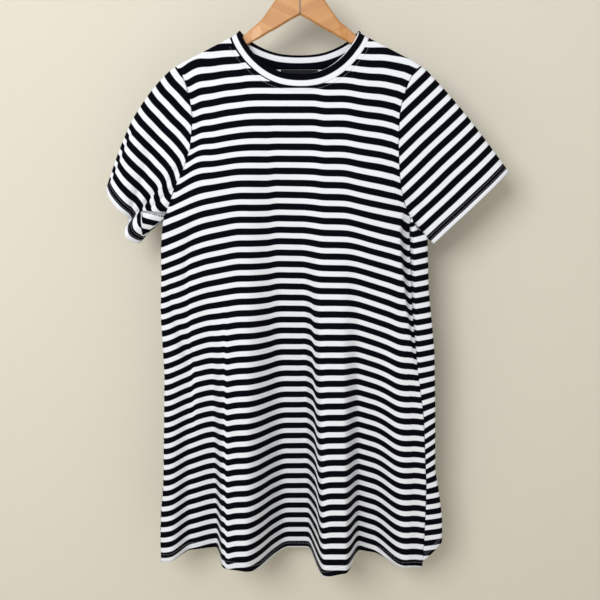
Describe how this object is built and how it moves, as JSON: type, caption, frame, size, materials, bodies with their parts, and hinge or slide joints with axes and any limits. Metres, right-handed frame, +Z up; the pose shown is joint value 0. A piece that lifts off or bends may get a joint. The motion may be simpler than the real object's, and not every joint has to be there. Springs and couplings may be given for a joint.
{
  "type": "t-shirt dress on a hanger",
  "caption": "Striped short-sleeved crew-neck T-shirt dress, A-line to a fluted hem, hanging open and hollow on a wooden hanger with a wire hook.",
  "frame": {"origin": "highest point inside the hanger's hook, where it rests on a rail; the rail's centre lies just above it", "axes": "+X to the viewer's right along the hanger, +Y from the front of the dress to its back, +Z up"},
  "size_m": [0.6395, 0.1292, 1.0435],
  "materials": {
    "striped_jersey": "matte cotton jersey, dark navy and white stripes",
    "label_tape": "dark woven tape, blank",
    "hanger_wood": "clear satin lacquer",
    "hook_steel": "polished wire"
  },
  "bodies": {
    "root": {"front_panel": "striped_jersey", "back_panel": "striped_jersey", "sleeve_left": "striped_jersey", "sleeve_right": "striped_jersey", "neckband": "striped_jersey", "neck_label": "label_tape", "hanger_arm_left": "hanger_wood", "hanger_arm_right": "hanger_wood", "hanger_hook": "hook_steel"}
  },
  "joints": []
}
